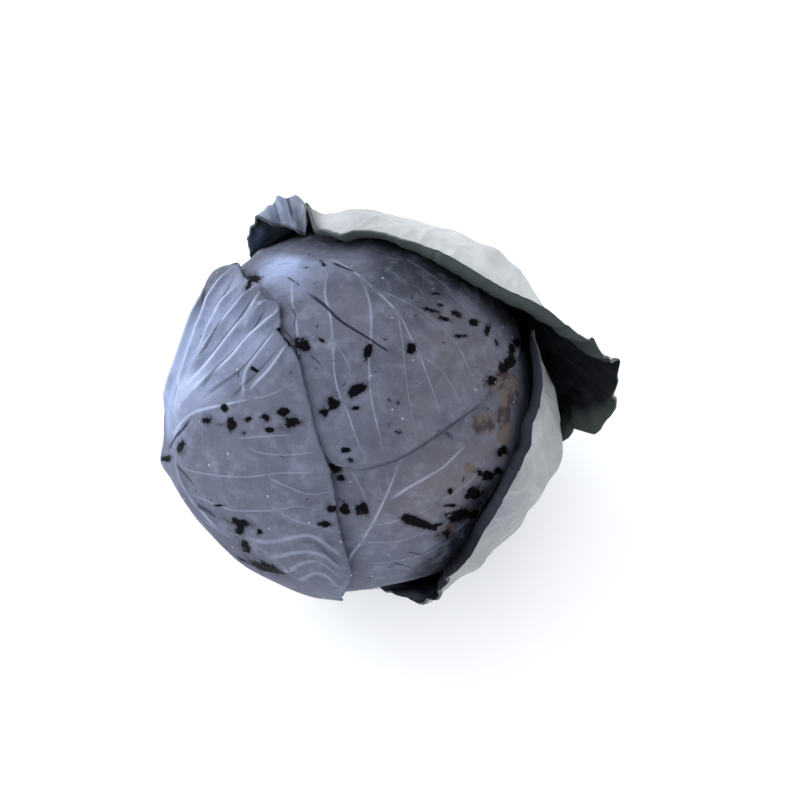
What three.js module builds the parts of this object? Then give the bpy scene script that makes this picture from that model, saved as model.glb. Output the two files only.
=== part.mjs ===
// Red cabbage head as cut: a ball of packed leaves, the loose outer leaves that wrap it, and a short cut stem.
// Millimetres, +Z up. The origin is the middle of the cut face of the stem, which lies on the table.
import * as THREE from 'three';
import { mergeVertices } from 'three/addons/utils/BufferGeometryUtils.js';

// Driving dimensions of the head
const HEART_RADIUS = 68;
const HEART_BASE_DEPTH = 66;
const BASE_SQUARENESS = 8;
const LEAN_DEG = 15;
const CENTRE_HEIGHT = 74;

// Driving dimensions of the leaves and the stem
const LEAF_THICKNESS = 1.4;
const LAYER_PITCH = 2.6;
const FIRST_LAYER = 1.9;
const MAP_RADIUS = 75;
const STEM_RADIUS = 15;
const STEM_TOP_DEPTH = 61.8;
const STEM_SWELL = 1.2;
const LIFT_POWER = 3;
const EDGE_SQUARENESS = 8;
const STRAIGHT_ROLL = 0.01;

// Fineness of the facets
const LEAF_SPOKES = 44;
const LEAF_RINGS = 18;
const RIM_CROWDING = 1.35;
const HEART_SEGMENTS = 32;
const HEART_RINGS = 18;
const STEM_SIDES = 32;
const PROBE_STEP = 0.004;
const MERGE_DISTANCE = 1e-4;

const rad = THREE.MathUtils.degToRad;
const lean = rad(LEAN_DEG);
const stemLength = CENTRE_HEIGHT / Math.cos(lean);
const headCentre = new THREE.Vector3(0, -stemLength * Math.sin(lean), CENTRE_HEIGHT);

// The head is shaped upright, then leant forwards about X so that it stands on its stem and a pressed leaf
function stand(point) {
  return point.applyAxisAngle(new THREE.Vector3(1, 0, 0), lean).add(headCentre);
}

// Direction from the middle of the head: longitude from +X, and angle down from the crown
function direction(longitude, fromCrown) {
  return new THREE.Vector3().setFromSphericalCoords(1, rad(fromCrown), rad(longitude + 90)).applyAxisAngle(
    new THREE.Vector3(1, 0, 0), Math.PI / 2);
}

// Radius of the packed heart: a ball whose underside is pulled flat where the leaves join the stem
function heartRadius(dir) {
  const down = Math.max(-dir.z, 0);
  const flat = (down / HEART_BASE_DEPTH) ** BASE_SQUARENESS;
  const round = (1 / HEART_RADIUS) ** BASE_SQUARENESS;
  return (flat + round) ** (-1 / BASE_SQUARENESS);
}

// A smooth closed curve through values given at equal steps round a leaf
function around(values, angle) {
  const turn = (angle / (2 * Math.PI)) * values.length;
  const whole = Math.floor(turn);
  const t = turn - whole;
  const at = (k) => values[(whole + k + 2 * values.length) % values.length];
  const [a, b, c, d] = [at(-1), at(0), at(1), at(2)];
  return 0.5 * (2 * b + (c - a) * t + (2 * a - 5 * b + 4 * c - d) * t * t + (3 * b - a - 3 * c + d) * t ** 3);
}

const same = (value) => new Array(18).fill(value);

// Each leaf lies on the head around its own middle. Every 20 degrees round it, from its right-hand side
// through its tip and back by its base, it has the distance to its margin, how far the margin lifts off
// the layer below, and how far the margin rolls over, in degrees, outwards when positive.
const leaves = [
  {
    name: 'lower_leaf', layer: 0, longitude: -70, fromCrown: 62, colour: 0x5f5c6c,
    margin: [112, 104, 96, 92, 90, 88, 84, 80, 78, 76, 74, 78, 92, 130, 130, 96, 92, 104],
    lift: same(0), roll: same(0), band: 6, floor: 0,
  },
  {
    name: 'crown_leaf', layer: 1, longitude: 118, fromCrown: 66, colour: 0x74788e,
    margin: [62, 66, 76, 92, 112, 116, 117, 117, 116, 112, 98, 88, 94, 124, 124, 88, 72, 64],
    lift: [0, 0, 0, 0, 0.3, 0.4, 0.4, 0.4, 0.3, 0, 0, 0, 0, 0, 0, 0, 0, 0],
    roll: same(0), band: 6, floor: 0,
  },
  {
    name: 'left_leaf', layer: 2, longitude: 186, fromCrown: 82, colour: 0x8d97b3,
    margin: [103, 106, 102, 99, 93, 90, 86, 77, 75, 67, 71, 78, 88, 104, 105, 104, 104, 103],
    lift: [0.4, 0.6, 0.4, 0.3, 0.3, 0.5, 1.5, 2.5, 2.5, 1, 0, 0, 0, 0, 0, 0, 0, 0],
    roll: same(0), band: 6, floor: 5.9,
  },
  {
    name: 'right_leaf', layer: 3, longitude: -25, fromCrown: 85, colour: 0xa6abb0,
    margin: [66, 64, 55, 47, 44, 44, 50, 60, 72, 68, 78, 94, 99, 101, 99, 96, 86, 74],
    lift: [1, 1, 1.5, 2, 2.5, 2.5, 2.5, 2.5, 3, 4, 2, 0.5, 0, 0, 0, 0, 0, 1],
    roll: [20, 40, 90, 130, 135, 135, 130, 100, 60, 40, 20, 0, 0, 0, 0, 0, 0, 10], band: 6, floor: 3.3,
  },
  {
    name: 'hood_leaf', layer: 4, longitude: 50, fromCrown: 95, colour: 0xc8cdd4,
    margin: [96, 95, 87, 73, 63, 58, 48, 41, 53, 75, 76, 74, 78, 88, 90, 86, 88, 92],
    lift: [6, 9, 5, 4, 3, 2.5, 4, 10, 22, 24, 9, 2, 0, 0, 0, 0, 1, 3],
    roll: [10, 20, 60, 70, 100, 105, 105, 80, 20, 5, 5, 0, 0, 0, 0, 0, 0, 0], band: 9, floor: 0,
  },
  {
    name: 'rear_leaf', layer: 3, longitude: 150, fromCrown: 136, colour: 0x9aa0ad,
    margin: [50, 52, 52, 44, 46, 42, 44, 50, 52, 50, 46, 42, 40, 37, 37, 38, 42, 46],
    lift: [0, 0.5, 1, 1, 1, 1, 1, 1, 0.5, 0, 0, 0, 0, 0, 0, 0, 0, 0],
    roll: same(0), band: 6, floor: 0,
  },
  {
    name: 'under_leaf', layer: 4, longitude: -92, fromCrown: 145, colour: 0x8a8f9c,
    margin: [50, 48, 40, 34, 30, 31, 33, 40, 47, 50, 46, 38, 30, 25, 25, 30, 38, 46],
    lift: [0, 0.5, 1, 1, 1, 1, 1, 1, 0.5, 0, 0, 0, 0, 0, 0, 0, 0, 0],
    roll: same(0), band: 6, floor: LEAF_THICKNESS / 2,
  },
];

// The flat pattern of a leaf, wrapped over the head around its middle without stretching its spokes
function leafSheet(leaf) {
  const middle = direction(leaf.longitude, leaf.fromCrown);
  const tipward = new THREE.Vector3(0, 0, 1).addScaledVector(middle, -middle.z).normalize();
  const sideways = new THREE.Vector3().crossVectors(tipward, middle);
  const offset = FIRST_LAYER + leaf.layer * LAYER_PITCH;

  function onLayer(distance, angle) {
    const arc = distance / MAP_RADIUS;
    const heading = sideways.clone().multiplyScalar(Math.cos(angle)).addScaledVector(tipward, Math.sin(angle));
    const dir = middle.clone().multiplyScalar(Math.cos(arc)).addScaledVector(heading, Math.sin(arc));
    const share = distance / around(leaf.margin, angle);
    return dir.multiplyScalar(heartRadius(dir) + offset + around(leaf.lift, angle) * share ** LIFT_POWER);
  }

  return function point(share, angle) {
    const distance = around(leaf.margin, angle) * share;
    const bandStart = around(leaf.margin, angle) - leaf.band;
    const place = onLayer(Math.min(distance, bandStart), angle);
    if (distance > bandStart) {
      const outwards = place.clone().sub(onLayer(bandStart - 1, angle)).normalize();
      const off = place.clone().normalize();
      off.addScaledVector(outwards, -off.dot(outwards)).normalize();
      const run = distance - bandStart;
      const curl = Math.max(rad(around(leaf.roll, angle)), STRAIGHT_ROLL) / leaf.band;
      place.addScaledVector(outwards, Math.sin(curl * run) / curl);
      place.addScaledVector(off, (1 - Math.cos(curl * run)) / curl);
    }
    stand(place);
    place.z = Math.max(place.z, leaf.floor);
    return place;
  };
}

// A closed leaf: the upper half of a ball becomes its outer face, the lower half its inner face
function leafGeometry(leaf) {
  const sheet = leafSheet(leaf);
  const geometry = new THREE.SphereGeometry(1, LEAF_SPOKES, LEAF_RINGS);
  geometry.deleteAttribute('normal');
  geometry.deleteAttribute('uv');
  const position = geometry.getAttribute('position');
  for (let i = 0; i < position.count; i += 1) {
    const vertex = new THREE.Vector3().fromBufferAttribute(position, i);
    const row = Math.round((Math.acos(THREE.MathUtils.clamp(vertex.y, -1, 1)) / Math.PI) * LEAF_RINGS);
    const ring = Math.min(row, LEAF_RINGS - row) / (LEAF_RINGS / 2);
    const share = 1 - (1 - ring) ** RIM_CROWDING;
    const angle = ring === 0 ? 0 : Math.atan2(-vertex.z, vertex.x) + 2 * Math.PI;
    const probe = Math.min(Math.max(share, 2 * PROBE_STEP), 1 - PROBE_STEP);
    const along = sheet(probe + PROBE_STEP, angle).sub(sheet(probe - PROBE_STEP, angle));
    const across = sheet(probe, angle + PROBE_STEP).sub(sheet(probe, angle - PROBE_STEP));
    const normal = along.cross(across).normalize();
    const half = (LEAF_THICKNESS / 2) * Math.sqrt(1 - share ** EDGE_SQUARENESS);
    const place = sheet(share, angle).addScaledVector(normal, half * Math.sign(LEAF_RINGS / 2 - row));
    position.setXYZ(i, place.x, place.y, Math.max(place.z, leaf.floor - LEAF_THICKNESS / 2));
  }
  return mergeVertices(geometry, MERGE_DISTANCE);
}

// The packed inner leaves, which show only between the outer ones
function heartGeometry() {
  const geometry = new THREE.SphereGeometry(1, HEART_SEGMENTS, HEART_RINGS);
  geometry.deleteAttribute('normal');
  geometry.deleteAttribute('uv');
  geometry.rotateX(Math.PI / 2);
  const position = geometry.getAttribute('position');
  for (let i = 0; i < position.count; i += 1) {
    const dir = new THREE.Vector3().fromBufferAttribute(position, i).normalize();
    const place = stand(dir.multiplyScalar(heartRadius(dir)));
    position.setXYZ(i, place.x, place.y, place.z);
  }
  return mergeVertices(geometry, MERGE_DISTANCE);
}

// The stem runs down the axis of the head and is cut off level where the head stands on it
function stemGeometry() {
  const geometry = new THREE.CylinderGeometry(1, 1, 1, STEM_SIDES, 4);
  geometry.deleteAttribute('normal');
  geometry.deleteAttribute('uv');
  const position = geometry.getAttribute('position');
  for (let i = 0; i < position.count; i += 1) {
    const share = 0.5 - position.getY(i);
    const radius = STEM_RADIUS + STEM_SWELL * Math.sin(Math.PI * share);
    const x = position.getX(i) * radius;
    const y = -position.getZ(i) * radius;
    const cutDepth = stemLength + y * Math.tan(lean);
    const depth = STEM_TOP_DEPTH + (cutDepth - STEM_TOP_DEPTH) * share;
    const place = stand(new THREE.Vector3(x, y, -depth));
    position.setXYZ(i, place.x, place.y, place.z);
  }
  return mergeVertices(geometry, MERGE_DISTANCE);
}

function piece(name, geometry, colour, roughness) {
  const material = new THREE.MeshStandardMaterial({ color: colour, roughness, metalness: 0 });
  const mesh = new THREE.Mesh(geometry, material);
  mesh.name = name;
  return mesh;
}

const cabbage = new THREE.Group();
cabbage.add(piece('inner_head', heartGeometry(), 0x6b5f7c, 0.6));
for (const leaf of leaves) cabbage.add(piece(leaf.name, leafGeometry(leaf), leaf.colour, 0.6));
cabbage.add(piece('stem', stemGeometry(), 0xb9b39a, 0.8));

export default cabbage;
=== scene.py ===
# %% [markdown]
# # A head of red cabbage
# This lesson dresses the plain CAD model of a cabbage head. The head is a tight ball of leaves. Three
# waxy leaves wrap its front, a fourth wraps its right side with a rolled rim, and a loose hood leaf
# stands off the back and ends in a ruffled lobe. We load the CAD model first.

# %% Load the CAD model
import math
import bpy
import numpy as np
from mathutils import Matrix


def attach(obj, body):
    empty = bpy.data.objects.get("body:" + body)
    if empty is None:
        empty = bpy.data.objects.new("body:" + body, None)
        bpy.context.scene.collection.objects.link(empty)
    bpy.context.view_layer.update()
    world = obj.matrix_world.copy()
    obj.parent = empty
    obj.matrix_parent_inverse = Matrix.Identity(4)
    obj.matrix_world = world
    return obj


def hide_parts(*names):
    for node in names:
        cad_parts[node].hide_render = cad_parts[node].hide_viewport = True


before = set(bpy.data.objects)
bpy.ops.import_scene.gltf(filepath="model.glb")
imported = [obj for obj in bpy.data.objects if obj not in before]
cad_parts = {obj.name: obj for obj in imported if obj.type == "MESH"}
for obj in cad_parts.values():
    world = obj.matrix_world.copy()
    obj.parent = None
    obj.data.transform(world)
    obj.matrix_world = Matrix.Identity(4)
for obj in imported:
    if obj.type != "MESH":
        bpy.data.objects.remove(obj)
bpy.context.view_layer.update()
bpy.ops.object.select_all(action="DESELECT")
print("CAD pieces:", ", ".join(sorted(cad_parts)))

# %% [markdown]
# A cabbage is easier to shape upright, with its crown straight up, than leaning as it stands on the
# table. So all leaves are worked out in millimetres around the middle of an upright head. One helper
# then leans a shape forwards about X and lifts it to its place, in metres.

# %% Stand the head on the table
LEAN_DEG = 15
LEAN = math.radians(LEAN_DEG)
CENTRE_HEIGHT = 74.0
HEAD_CENTRE = np.array([0.0, -CENTRE_HEIGHT * math.tan(LEAN), CENTRE_HEIGHT])


def stand(points):
    x, y, z = np.moveaxis(np.asarray(points, float), -1, 0)
    leant = np.stack([x, y * math.cos(LEAN) - z * math.sin(LEAN),
                      y * math.sin(LEAN) + z * math.cos(LEAN)], axis=-1)
    return (leant + HEAD_CENTRE) / 1000


print("middle of the head in metres:", np.round(stand([0, 0, 0]), 4))

# %% [markdown]
# The photo looks down on the crown from 68 degrees. With the camera settled first, a spot in the photo
# can be followed along its line of sight to the leaf that it lies on. That puts veins, blots and torn
# margins in the right place on a round head, without stretching them.

# %% Follow a spot in the photo to the head
LOOK_DOWN_DEG = 68
LOOK_DOWN = math.radians(LOOK_DOWN_DEG)
CAMERA_DISTANCE = 889.0
MM_PER_PIXEL = 0.4
PHOTO_MIDDLE = 400
AIM = np.array([18.0, 6.0])
TURN = math.radians(90 - LOOK_DOWN_DEG - LEAN_DEG)


def sight(px, py):
    eye = np.array([AIM[0], AIM[1], CAMERA_DISTANCE])
    ray = np.array([(px - PHOTO_MIDDLE) * MM_PER_PIXEL, (PHOTO_MIDDLE - py) * MM_PER_PIXEL,
                    -CAMERA_DISTANCE])
    return eye, ray / np.linalg.norm(ray)


def upright(spot):
    x, y, z = spot
    return np.array([x, math.cos(TURN) * y - math.sin(TURN) * z, math.sin(TURN) * y + math.cos(TURN) * z])


def from_photo(px, py, radius):
    eye, ray = sight(px, py)
    nearest = -ray @ eye
    inside = nearest ** 2 - eye @ eye + radius ** 2
    spot = upright(eye + ray * (nearest - math.sqrt(max(inside, 0.0))))
    return spot / np.linalg.norm(spot)


def at_depth(px, py, depth):
    """The place seen at a pixel, that many millimetres nearer to the camera than the middle of the head."""
    eye, ray = sight(px, py)
    return upright(eye + ray * (eye[2] - depth) / -ray[2])


print("the middle of the photo's head is this way:", np.round(from_photo(355, 415, 76), 3))

# %% [markdown]
# A leaf is flat when it grows and is then pressed round the head. We do the same: each leaf is drawn on
# a flat map around its own middle, with the tip up and the base down. Distances from the middle stay
# true when the map is wrapped over the ball. A heart of packed leaves gives the ball its radius, and it
# is a little flatter underneath, where the stem is.

# %% Wrap a flat leaf pattern round the head
MAP_RADIUS = 75.0
HEART_RADIUS = 68
HEART_BASE_DEPTH = 66
BASE_SQUARENESS = 8
SWELL_HEIGHT = 0.16
SWELL_PITCH = 3.2
waves = np.random.default_rng(5)
SWELLS = [(waves.normal(size=3), waves.uniform(0, 6.3)) for _ in range(14)]


def unit(vectors):
    return vectors / np.linalg.norm(vectors, axis=-1, keepdims=True)


def way(longitude, from_crown):
    a, c = math.radians(longitude), math.radians(from_crown)
    return np.array([math.sin(c) * math.cos(a), math.sin(c) * math.sin(a), math.cos(c)])


def leaf_axes(longitude, from_crown):
    middle = way(longitude, from_crown)
    tipward = np.array([0, 0, 1.0]) - middle[2] * middle
    tipward /= np.linalg.norm(tipward)
    return middle, np.cross(tipward, middle), tipward


def wrap(axes, x, y):
    middle, sideways, tipward = axes
    distance = np.maximum(np.hypot(x, y), 1e-6)
    arc = distance / MAP_RADIUS
    heading = (x / distance)[..., None] * sideways + (y / distance)[..., None] * tipward
    return np.cos(arc)[..., None] * middle + np.sin(arc)[..., None] * heading


def unwrap(axes, spot):
    middle, sideways, tipward = axes
    arc = math.acos(max(-1.0, min(1.0, float(spot @ middle))))
    heading = spot - (spot @ middle) * middle
    heading /= max(np.linalg.norm(heading), 1e-9)
    return MAP_RADIUS * arc * np.array([heading @ sideways, heading @ tipward])


FLATS = [(at_depth(px, py, 0), deep, math.radians(wide)) for px, py, deep, wide in (
    (386, 592, 6.5, 12), (282, 588, 5.5, 10), (224, 556, 3.6, 10), (172, 366, 2.2, 9))]


def swell(ways):
    """Long low waves, and the flatter places round the outline in the photo."""
    total = SWELL_HEIGHT * sum(np.sin(SWELL_PITCH * (ways @ k) + phase) for k, phase in SWELLS)
    for spot, deep, wide in FLATS:
        away = np.arccos(np.clip(ways @ spot / np.linalg.norm(spot), -1, 1))
        total = total - deep * np.exp(-(away / wide) ** 2 / 2)
    return total


def ball(ways):
    down = np.maximum(-ways[..., 2], 0)
    base, sides = (down / HEART_BASE_DEPTH) ** BASE_SQUARENESS, (1 / HEART_RADIUS) ** BASE_SQUARENESS
    return (base + sides) ** (-1 / BASE_SQUARENESS) + swell(ways)


def step_up(value, low, high):
    t = np.clip((value - low) / (high - low), 0, 1)
    return t * t * (3 - 2 * t)


def through(marks, values, at):
    """A smooth curve through a few values."""
    marks, values = np.asarray(marks, float), np.asarray(values, float)
    slopes = np.gradient(values, marks)
    k = np.clip(np.searchsorted(marks, at) - 1, 0, len(marks) - 2)
    wide = marks[k + 1] - marks[k]
    t = np.clip((at - marks[k]) / wide, 0, 1)
    return ((2 * t ** 3 - 3 * t ** 2 + 1) * values[k] + (t ** 3 - 2 * t ** 2 + t) * wide * slopes[k]
            + (3 * t ** 2 - 2 * t ** 3) * values[k + 1] + (t ** 3 - t ** 2) * wide * slopes[k + 1])


def bumps_at(x, y, spots):
    """Soft bumps, each a place on the leaf, a height and a width."""
    return sum((high * np.exp(-((x - m[0]) ** 2 + (y - m[1]) ** 2) / (2 * wide ** 2))
                for m, high, wide in spots), np.zeros(np.shape(x)))


def away_from(x, y, line):
    """Distance in mm from a line drawn on the leaf."""
    best = np.full(np.shape(x), 1e9)
    for a, b in zip(line[:-1], line[1:]):
        along = b - a
        t = np.clip(((x - a[0]) * along[0] + (y - a[1]) * along[1]) / max(along @ along, 1e-9), 0, 1)
        best = np.minimum(best, np.hypot(x - a[0] - t * along[0], y - a[1] - t * along[1]))
    return best


print("swell of the head in mm, crown and sides:",
      np.round(swell(np.array([[0, 0, 1.0], [1, 0, 0], [0, -1, 0], [-1, 0, 0]])), 2))

# %% [markdown]
# Veins and creases are lines on the flat map. Each is a smooth curve through a few points with its own
# width and height. From such lines every point of a leaf learns two things: how high the leaf is raised
# there, and how far away the nearest line is, which the leaf's colour uses later. The distance is kept
# with a side, left or right, so that it passes evenly through zero and gives a crisp line. Where two
# lines run close together the sides would clash, so there the line is kept as a soft value instead.

# %% Draw lines on a leaf
def between(a, b, c, d, t):
    """A smooth step from b to c, given their neighbours a and d."""
    return 0.5 * (2 * b + (c - a) * t + (2 * a - 5 * b + 4 * c - d) * t ** 2
                  + (3 * b - a - 3 * c + d) * t ** 3)


def smooth_line(points, step=1.6):
    p = np.asarray(points, float)
    if len(p) < 3:
        p = np.vstack([p[0], (p[0] + p[-1]) / 2, p[-1]])
    ends = np.vstack([2 * p[0] - p[1], p, 2 * p[-1] - p[-2]])
    run = []
    for a, b, c, d in zip(ends[:-3], ends[1:-2], ends[2:-1], ends[3:]):
        count = max(2, int(np.linalg.norm(c - b) / step))
        t = np.linspace(0, 1, count, endpoint=False)[:, None]
        run.append(between(a, b, c, d, t))
    return np.vstack([*run, p[-1:]])


CROWDED = 2.6


def line_marks(x, y, lines):
    """Signed and plain distance to the nearest line in its own widths, its strength, and the ridge."""
    side, gap = np.full(x.shape, 9.0), np.full(x.shape, 9.0)
    second = np.full(x.shape, 9.0)
    force, ridge, soft = np.zeros(x.shape), np.zeros(x.shape), np.zeros(x.shape)
    for points, width, height, strength in lines:
        p = smooth_line(points)
        reach = max(6.0, 6 * width)
        near = np.where((x > p[:, 0].min() - reach) & (x < p[:, 0].max() + reach)
                        & (y > p[:, 1].min() - reach) & (y < p[:, 1].max() + reach))[0]
        if not len(near):
            continue
        qx, qy = x[near], y[near]
        best, signed, along = np.full(len(near), 99.0), np.zeros(len(near)), np.zeros(len(near))
        spans = np.linalg.norm(np.diff(p, axis=0), axis=1)
        marks = np.concatenate([[0], np.cumsum(spans)]) / max(spans.sum(), 1e-6)
        for i, (a, b) in enumerate(zip(p[:-1], p[1:])):
            ux, uy = (b - a) / max(spans[i], 1e-9)
            ax, ay = qx - a[0], qy - a[1]
            run = np.clip(ax * ux + ay * uy, 0, spans[i])
            away = np.hypot(ax - run * ux, ay - run * uy)
            better = away < best
            best[better] = away[better]
            signed[better] = (np.sign(ux * ay - uy * ax) * away)[better]
            along[better] = (marks[i] + (marks[i + 1] - marks[i]) * run / max(spans[i], 1e-9))[better]
        fade = np.clip(np.minimum(along * 7 + 0.25, (1 - along) * 7), 0, 1)
        local = width * (1.15 - 0.45 * along)
        closer = best / local < gap[near]
        second[near] = np.where(closer, gap[near], np.minimum(second[near], best / local))
        hit = near[closer]
        gap[hit] = (best / local)[closer]
        side[hit] = (signed / local)[closer]
        force[hit] = (strength * fade)[closer]
        crest = height * fade * np.exp(-(best / (1.9 * local)) ** 2)
        ridge[near] = np.maximum(ridge[near], crest)
        glow = 0.8 * strength * fade * np.exp(-(best / max(1.3, 1.6 * width)) ** 2)
        soft[near] = np.maximum(soft[near], glow)
    crowded = second < CROWDED
    return side, gap, np.where(crowded, 0, force), ridge, np.where(crowded, soft, 0)


test = line_marks(np.array([5.0, 5.0]), np.array([0.0, 3.0]), [([(0, 0), (10, 0)], 1.0, 0.5, 1.0)])
print("a vein is raised", np.round(test[3], 3), "mm on it and beside it")

# %% [markdown]
# On the hidden sides nothing is traced, so veins are grown the way that a cabbage leaf has them. One
# thick midrib rises from the base, side veins leave it in turn to the left and right and bend towards
# the tip, and each of these branches again. A seeded generator makes the same veins on every run.

# %% Grow veins on a leaf
def grow_veins(midrib, seed, reach, spacing=13.0, width=1.0, height=0.7, strength=1.0):
    dice = np.random.default_rng(seed)
    spine = smooth_line(midrib, 1.0)
    travelled = np.concatenate([[0], np.cumsum(np.linalg.norm(np.diff(spine, axis=0), axis=1))])
    taken = [spine]
    buds, veins = [], []
    side, at = 1, spacing * 0.6
    while at < travelled[-1]:
        i = min(int(np.searchsorted(travelled, at)), len(spine) - 1)
        ahead = spine[min(i + 1, len(spine) - 1)] - spine[i - 1]
        wide = 1.15 - 0.5 * at / travelled[-1]
        buds.append((spine[i], math.atan2(ahead[1], ahead[0]) + side * wide, 130.0, width, 2, side))
        side = -side
        at += spacing * dice.uniform(0.45, 0.65)
    while buds:
        start, heading, length, thick, depth, side = buds.pop(0)
        p, points, travel, turn_side = np.array(start, float), [tuple(start)], 0.0, side
        others = np.vstack(taken)
        bend = -0.05 * side * (1 if depth == 2 else 0.3)
        while travel < length:
            heading += bend * 2.0 / 6 + math.radians(dice.normal(0, 3.2))
            p = p + 2.0 * np.array([math.cos(heading), math.sin(heading)])
            travel += 2.0
            if not reach(p[0], p[1]):
                break
            points.append(tuple(p))
            if travel > 5 and np.min(np.hypot(*(others - p).T)) < 1.6 + 0.4 * depth:
                break
            if depth and travel % (8 if depth == 2 else 6) < 2.0 and travel > 6:
                buds.append((p.copy(), heading + turn_side * dice.uniform(0.6, 0.9), length * 0.42,
                             thick * 0.58, depth - 1, turn_side))
                turn_side = -turn_side
        if len(points) > 3:
            taken.append(np.array(points))
            veins.append((points[::2] + [points[-1]], thick, height * thick / width,
                          strength * (0.35 + 0.28 * depth)))
    return veins


print("veins on a test leaf:", len(grow_veins([(0, -60), (0, 60)], 1, lambda x, y: math.hypot(x, y) < 70)))

# %% [markdown]
# Blots are rot and bruises, and a few are painted shadow in the gap under a lifted leaf tip. Each is an
# oval on the photo, carried to the flat map with its axes, and every point of the leaf learns how deep
# inside the nearest oval it lies. The colour roughens the edge of each oval later with noise, so none
# stays a clean oval.

# %% Place blots
def photo_point(leaf, px, py):
    return unwrap(leaf["axes"], from_photo(px, py, leaf["seen_radius"]))


def photo_lines(leaf, lines):
    return [([photo_point(leaf, *p) for p in points], width, height, strength)
            for points, width, height, strength in lines]


def same_lines(leaf, paths, width, height, strength):
    return photo_lines(leaf, [(p, width, height, strength) for p in paths])


def photo_curve(leaf, points):
    return smooth_line([photo_point(leaf, *p) for p in points])


def photo_spots(leaf, rows):
    """Places for bumps_at: a spot on the photo, a height and a width in mm."""
    return [(photo_point(leaf, px, py), high, wide) for px, py, high, wide in rows]


def blot_marks(x, y, leaf, blots):
    depth = np.full(x.shape, -2.5)
    for px, py, rx, ry, turn in blots:
        t = math.radians(turn)
        centre = photo_point(leaf, px, py)
        a = photo_point(leaf, px + rx * math.cos(t), py - rx * math.sin(t)) - centre
        b = photo_point(leaf, px + ry * math.sin(t), py + ry * math.cos(t)) - centre
        back = np.linalg.inv(np.column_stack([a, b]) + 1e-6 * np.eye(2))
        u = back[0, 0] * (x - centre[0]) + back[0, 1] * (y - centre[1])
        v = back[1, 0] * (x - centre[0]) + back[1, 1] * (y - centre[1])
        depth = np.maximum(depth, 1 - np.hypot(u, v))
    return depth


demo = {"axes": leaf_axes(118, 66), "seen_radius": 75.0}
across = photo_point(demo, 410, 400) - photo_point(demo, 400, 400)
print("10 pixels in the middle of the photo are", round(float(np.linalg.norm(across)), 1), "mm of leaf")

# %% [markdown]
# All leaves are built by one helper. It starts from a flat grid, pulls its square outline out to the
# margin of the leaf, wraps it over the ball, and curls the last strip where the margin rolls over.
# Then ridges rise along the surface, and a Solidify modifier gives the leaf its thickness, with a
# second material for its inner face.

# %% Roll the margin of a leaf
def around(values, degrees):
    values = np.asarray(values, float)
    n = len(values)
    turn = np.mod(degrees, 360) / 360 * n
    whole = np.floor(turn).astype(int)
    t = turn - whole
    a, b, c, d = (values[(whole + k) % n] for k in (-1, 0, 1, 2))
    return between(a, b, c, d, t)


def margin_of(leaf, degrees):
    edge = around(leaf["margin"], degrees)
    if "traced" in leaf:
        spots = np.array([photo_point(leaf, *p) for p in leaf["traced"]])
        turn = np.degrees(np.arctan2(spots[:, 1], spots[:, 0]))
        start = leaf["traced_from"]
        turn = np.mod(turn - start, 360)
        order = np.argsort(turn)
        turn, out = turn[order], np.hypot(spots[:, 0], spots[:, 1])[order]
        here = np.mod(degrees - start, 360)
        sure = np.clip(np.minimum(here - turn[0], turn[-1] - here) / 5 + 1, 0, 1)
        edge = edge * (1 - sure) + np.interp(here, turn, out) * sure
    dice = np.random.default_rng(leaf["seed"])
    fray = sum(np.sin(np.radians(degrees) * k + dice.uniform(0, 6.3)) / k ** 0.5 for k in range(9, 120, 7))
    return edge + leaf["fray"] * fray


def on_layer(leaf, distance, degrees, edge):
    turn = np.radians(degrees)
    ways = wrap(leaf["axes"], distance * np.cos(turn), distance * np.sin(turn))
    lift = around(leaf["lift"], degrees) * (distance / edge) ** 3
    return ways * (ball(ways) + leaf["layer"] + lift)[..., None]


def curled(leaf, distance, degrees, edge):
    band = around(leaf["band"], degrees)
    start = edge - band
    place = on_layer(leaf, np.minimum(distance, start), degrees, edge)
    run = np.maximum(distance - start, 0)
    outwards = unit(on_layer(leaf, start, degrees, edge) - on_layer(leaf, start - 1, degrees, edge))
    off = unit(place)
    off = unit(off - (off * outwards).sum(-1, keepdims=True) * outwards)
    curl = np.radians(around(leaf["roll"], degrees)) / band
    curl = np.where(np.abs(curl) < 1e-4, 1e-4, curl)
    bend = curl * run
    return place + (np.sin(bend) / curl)[..., None] * outwards + ((1 - np.cos(bend)) / curl)[..., None] * off


print("a margin of 1, 2, 3, 4 mm, a quarter turn round:", around([1, 2, 3, 4], 90.0), "mm")

# %% [markdown]
# The photo shows where the free margins end. They could be moved there by hand, but that would be lost
# with each new version of a leaf. Instead each margin point is told its place in the photo and moves
# there, and the leaf behind it follows less and less.

# %% Pull a margin onto the outline in the photo
LEAST_STEP_DEG = 0.8


def pulled_to_outline(leaf, place, distance, degrees, edge):
    """Moves the free margin onto the outline seen in the photo, and lets the leaf near it follow."""
    spots = np.array([at_depth(*p) for p in leaf["outline"]])
    flat = np.array([unwrap(leaf["axes"], s / np.linalg.norm(s)) for s in spots])
    start = leaf["outline_from"] - 30
    turn = np.mod(np.degrees(np.arctan2(flat[:, 1], flat[:, 0])) - start, 360)
    for i in range(1, len(turn)):
        turn[i] = max(turn[i], turn[i - 1] + LEAST_STEP_DEG)
    loose = curled(leaf, margin_of(leaf, turn + start), turn + start, margin_of(leaf, turn + start))
    print("  margin moves by up to", round(float(np.linalg.norm(spots - loose, axis=1).max()), 1), "mm at",
          (turn + start).round(0).tolist())
    knots = np.concatenate([[turn[0] - 9], turn, [turn[-1] + 9]])
    moves = np.vstack([[0, 0, 0], spots - loose, [0, 0, 0]])
    here = np.mod(degrees - start, 360)
    move = np.stack([np.interp(here, knots, moves[:, k]) for k in range(3)], axis=-1)
    share = np.clip((distance - edge) / leaf["outline_reach"] + 1, 0, 1)
    return place + (share * share * (3 - 2 * share))[..., None] * move


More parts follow.
